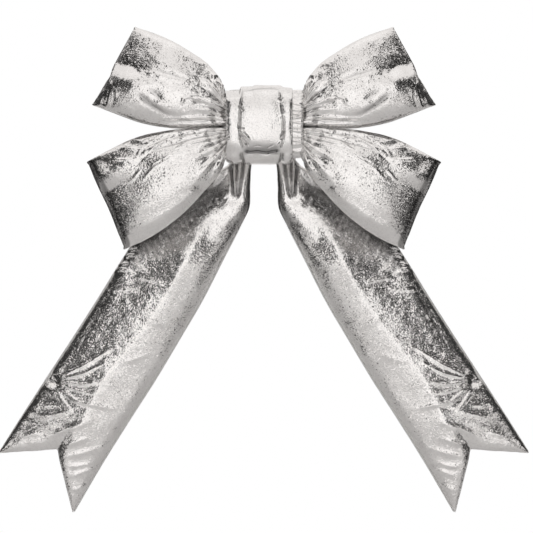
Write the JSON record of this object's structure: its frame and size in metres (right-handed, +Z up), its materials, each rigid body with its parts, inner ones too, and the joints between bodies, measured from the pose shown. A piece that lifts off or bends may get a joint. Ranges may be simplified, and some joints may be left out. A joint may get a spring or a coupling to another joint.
{
  "type": "pre-made padded gift bow",
  "caption": "Large padded bow in crinkled silver lame: four open loops, a puffed centre knot, two swallow-cut tails, and a strap and wire hanging loop behind.",
  "frame": {"origin": "middle of the back strap's rear face, on the wall behind the knot", "axes": "+X to the bow's right as seen from the front, +Y back into the wall, +Z up"},
  "size_m": [0.696, 0.096, 0.6355],
  "materials": {
    "silver_lame": "gloss",
    "wadding": "matte",
    "thread": "satin",
    "nylon_tie": "satin",
    "staple_steel": "satin",
    "hanger_wire": "satin"
  },
  "bodies": {
    "knot": {"knot_cover": "silver_lame", "knot_wadding": "wadding", "inner_wrap": "silver_lame", "waist_gather": "silver_lame", "waist_tie": "nylon_tie", "back_strap": "silver_lame", "strap_staples": "staple_steel", "hanger_tab": "silver_lame"},
    "left_upper_loop": {"left_upper_loop_cover": "silver_lame", "left_upper_loop_wadding": "wadding"},
    "left_lower_loop": {"left_lower_loop_cover": "silver_lame", "left_lower_loop_wadding": "wadding"},
    "left_tail": {"left_tail_cover": "silver_lame", "left_tail_wadding": "wadding", "left_tail_tack_stitch": "thread"},
    "right_upper_loop": {"right_upper_loop_cover": "silver_lame", "right_upper_loop_wadding": "wadding"},
    "right_lower_loop": {"right_lower_loop_cover": "silver_lame", "right_lower_loop_wadding": "wadding"},
    "right_tail": {"right_tail_cover": "silver_lame", "right_tail_wadding": "wadding", "right_tail_tack_stitch": "thread"},
    "hanging_loop": {"hanging_loop": "hanger_wire"}
  },
  "joints": [
    {"name": "left_upper_loop_fan", "type": "hinge", "parent": "knot", "child": "left_upper_loop", "pos_m": [-0.024, -0.057, 0.014], "axis": [0, 1, 0], "range_deg": [0, 10]},
    {"name": "left_lower_loop_fan", "type": "hinge", "parent": "knot", "child": "left_lower_loop", "pos_m": [-0.024, -0.057, -0.018], "axis": [0, -1, 0], "range_deg": [0, 10]},
    {"name": "left_tail_swing", "type": "hinge", "parent": "knot", "child": "left_tail", "pos_m": [-0.013, -0.01, 0], "axis": [0, 1, 0], "range_deg": [-8, 15]},
    {"name": "right_upper_loop_fan", "type": "hinge", "parent": "knot", "child": "right_upper_loop", "pos_m": [0.024, -0.057, 0.014], "axis": [0, -1, 0], "range_deg": [0, 10]},
    {"name": "right_lower_loop_fan", "type": "hinge", "parent": "knot", "child": "right_lower_loop", "pos_m": [0.024, -0.057, -0.018], "axis": [0, 1, 0], "range_deg": [0, 10]},
    {"name": "right_tail_swing", "type": "hinge", "parent": "knot", "child": "right_tail", "pos_m": [0.013, -0.01, 0], "axis": [0, -1, 0], "range_deg": [-8, 15]},
    {"name": "hanging_loop_fold", "type": "hinge", "parent": "knot", "child": "hanging_loop", "pos_m": [0, -0.0145, 0.026], "axis": [-1, 0, 0], "range_deg": [0, 150]}
  ]
}
